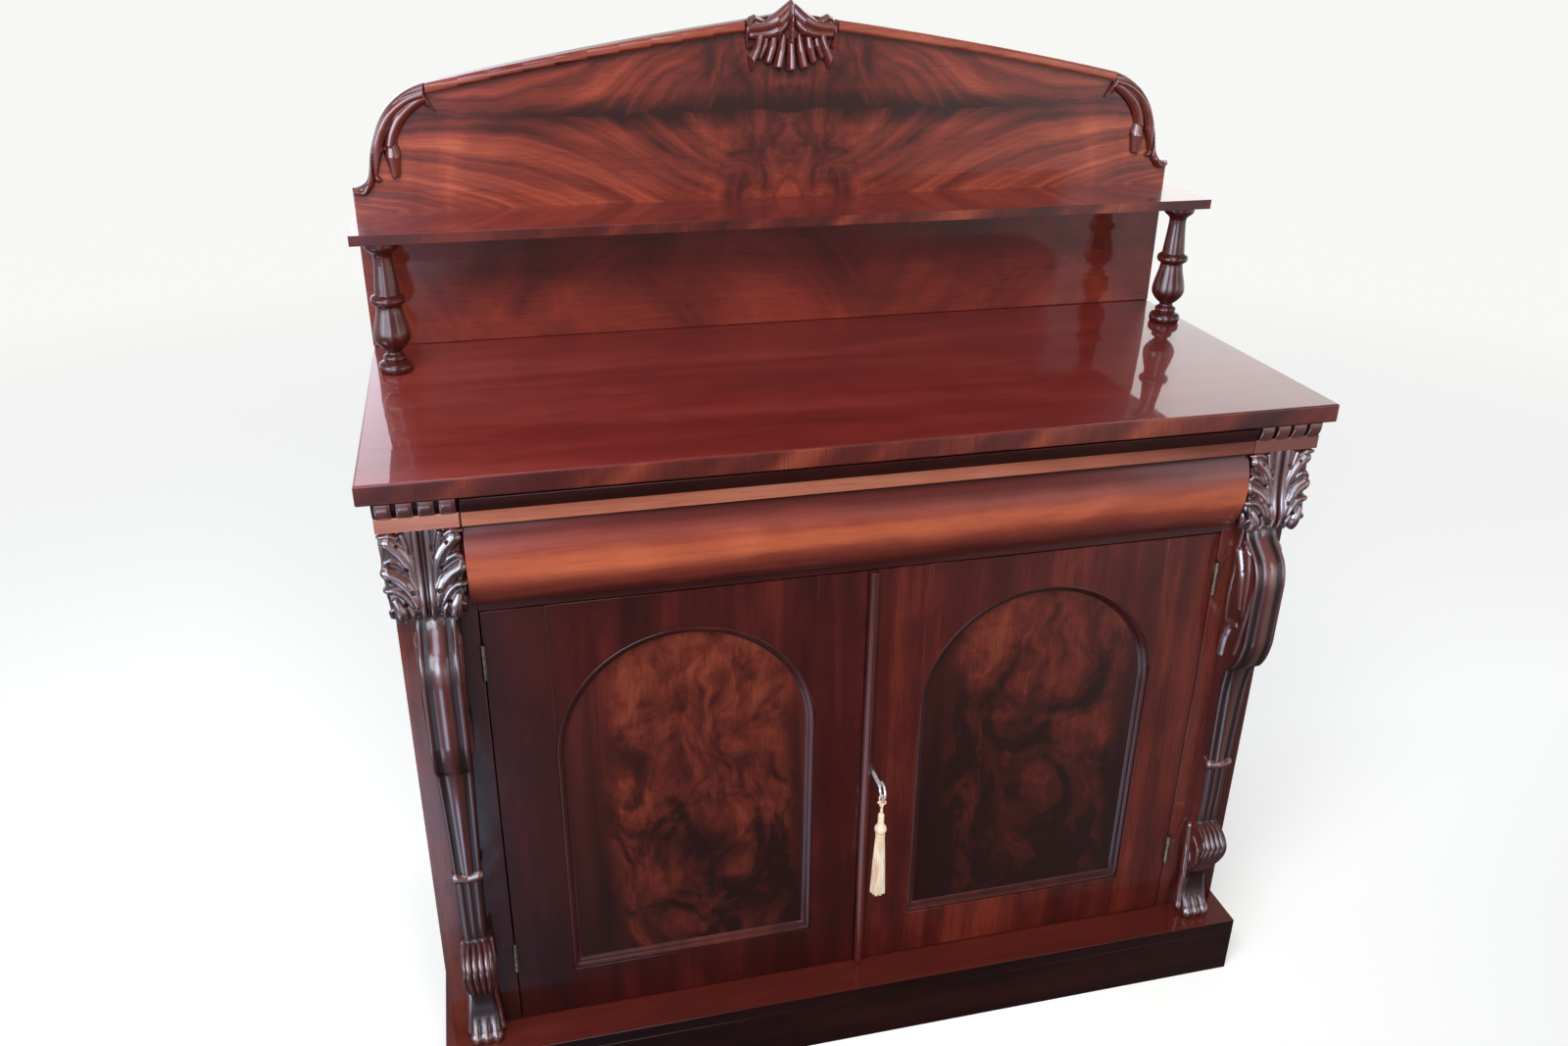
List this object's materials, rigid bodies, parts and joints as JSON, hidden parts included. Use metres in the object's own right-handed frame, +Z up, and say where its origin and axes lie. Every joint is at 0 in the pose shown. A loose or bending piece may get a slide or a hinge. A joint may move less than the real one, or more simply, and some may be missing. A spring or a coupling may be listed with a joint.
{
  "type": "chiffonier",
  "caption": "Low cupboard with arched panelled doors, a cushion drawer, scroll corbels, a plinth and a shaped backboard with a gallery shelf.",
  "frame": {"origin": "on the floor, at the middle of the bounding box's width and depth", "axes": "+X to the viewer's right, +Y to the back (the doors face -Y), +Z up"},
  "size_m": [1.124, 0.51, 1.287],
  "materials": {
    "mahogany": "French-polished mahogany",
    "veneer": "French-polished flame mahogany veneer",
    "secondary": "unpolished secondary timber",
    "brass": "aged brass",
    "steel": "old lock steel",
    "silk": "ivory silk"
  },
  "bodies": {
    "carcass": {"plinth_front": "mahogany", "plinth_sides": "mahogany", "plinth_back": "secondary", "plinth_blocks": "secondary", "base_board": "mahogany", "side_left": "mahogany", "side_right": "mahogany", "stile_left": "mahogany", "stile_right": "mahogany", "back_boards": "secondary", "drawer_divider": "mahogany", "drawer_runners": "secondary", "inner_shelf": "secondary", "shelf_bearers": "secondary", "top_board": "mahogany", "cornice_left": "mahogany", "cornice_right": "mahogany", "capital_left": "mahogany", "capital_right": "mahogany", "corbel_left": "mahogany", "corbel_right": "mahogany", "backboard": "veneer", "pediment_moulding_left": "mahogany", "pediment_moulding_right": "mahogany", "shoulder_leaf_left": "mahogany", "shoulder_leaf_right": "mahogany", "crest": "mahogany", "gallery_shelf": "mahogany", "column_left": "mahogany", "column_right": "mahogany", "hinge_plates": "brass"},
    "drawer": {"drawer_front": "veneer", "drawer_cornice": "mahogany", "drawer_side_left": "secondary", "drawer_side_right": "secondary", "drawer_back": "secondary", "drawer_bottom": "secondary"},
    "left_door": {"left_hinge_stile": "mahogany", "left_meeting_stile": "mahogany", "left_top_rail": "mahogany", "left_bottom_rail": "mahogany", "left_panel": "veneer", "left_moulding": "mahogany", "left_hinge_leaves": "brass", "bolt_plates": "brass"},
    "right_door": {"right_hinge_stile": "mahogany", "right_meeting_stile": "mahogany", "right_top_rail": "mahogany", "right_bottom_rail": "mahogany", "right_panel": "veneer", "right_moulding": "mahogany", "right_hinge_leaves": "brass", "astragal": "mahogany", "lock_case": "steel"},
    "lock_bolt": {"lock_bolt": "steel"},
    "key": {"key": "steel"},
    "tassel": {"tassel": "silk", "tassel_cord": "silk"},
    "door_bolt_top": {"door_bolt_top": "brass"},
    "door_bolt_bottom": {"door_bolt_bottom": "brass"}
  },
  "joints": [
    {"name": "drawer_slide", "type": "slide", "parent": "carcass", "child": "drawer", "axis": [0, -1, 0], "range_m": [0, 0.26]},
    {"name": "left_door_hinge", "type": "hinge", "parent": "carcass", "child": "left_door", "pos_m": [-0.45225, -0.2033, 0.39], "axis": [0, 0, -1], "range_deg": [0, 100]},
    {"name": "right_door_hinge", "type": "hinge", "parent": "carcass", "child": "right_door", "pos_m": [0.45225, -0.2033, 0.39], "axis": [0, 0, 1], "range_deg": [0, 100]},
    {"name": "key_turn", "type": "hinge", "parent": "right_door", "child": "key", "pos_m": [0.01, -0.2, 0.402], "axis": [0, -1, 0], "range_deg": [0, 150]},
    {"name": "lock_bolt_slide", "type": "slide", "parent": "right_door", "child": "lock_bolt", "axis": [-1, 0, 0], "range_m": [0, 0.008]},
    {"name": "tassel_hang", "type": "hinge", "parent": "key", "child": "tassel", "pos_m": [0.01, -0.239, 0.3915], "axis": [0, -1, 0], "range_deg": [-150, 0]},
    {"name": "bolt_top_slide", "type": "slide", "parent": "left_door", "child": "door_bolt_top", "axis": [0, 0, 1], "range_m": [0, 0.01]},
    {"name": "bolt_bottom_slide", "type": "slide", "parent": "left_door", "child": "door_bolt_bottom", "axis": [0, 0, -1], "range_m": [0, 0.01]}
  ],
  "couplings": [
    {"joint": "key_turn", "follows": "lock_bolt_slide", "rad_per_m": 327.2},
    {"joint": "tassel_hang", "follows": "lock_bolt_slide", "rad_per_m": -327.2}
  ]
}
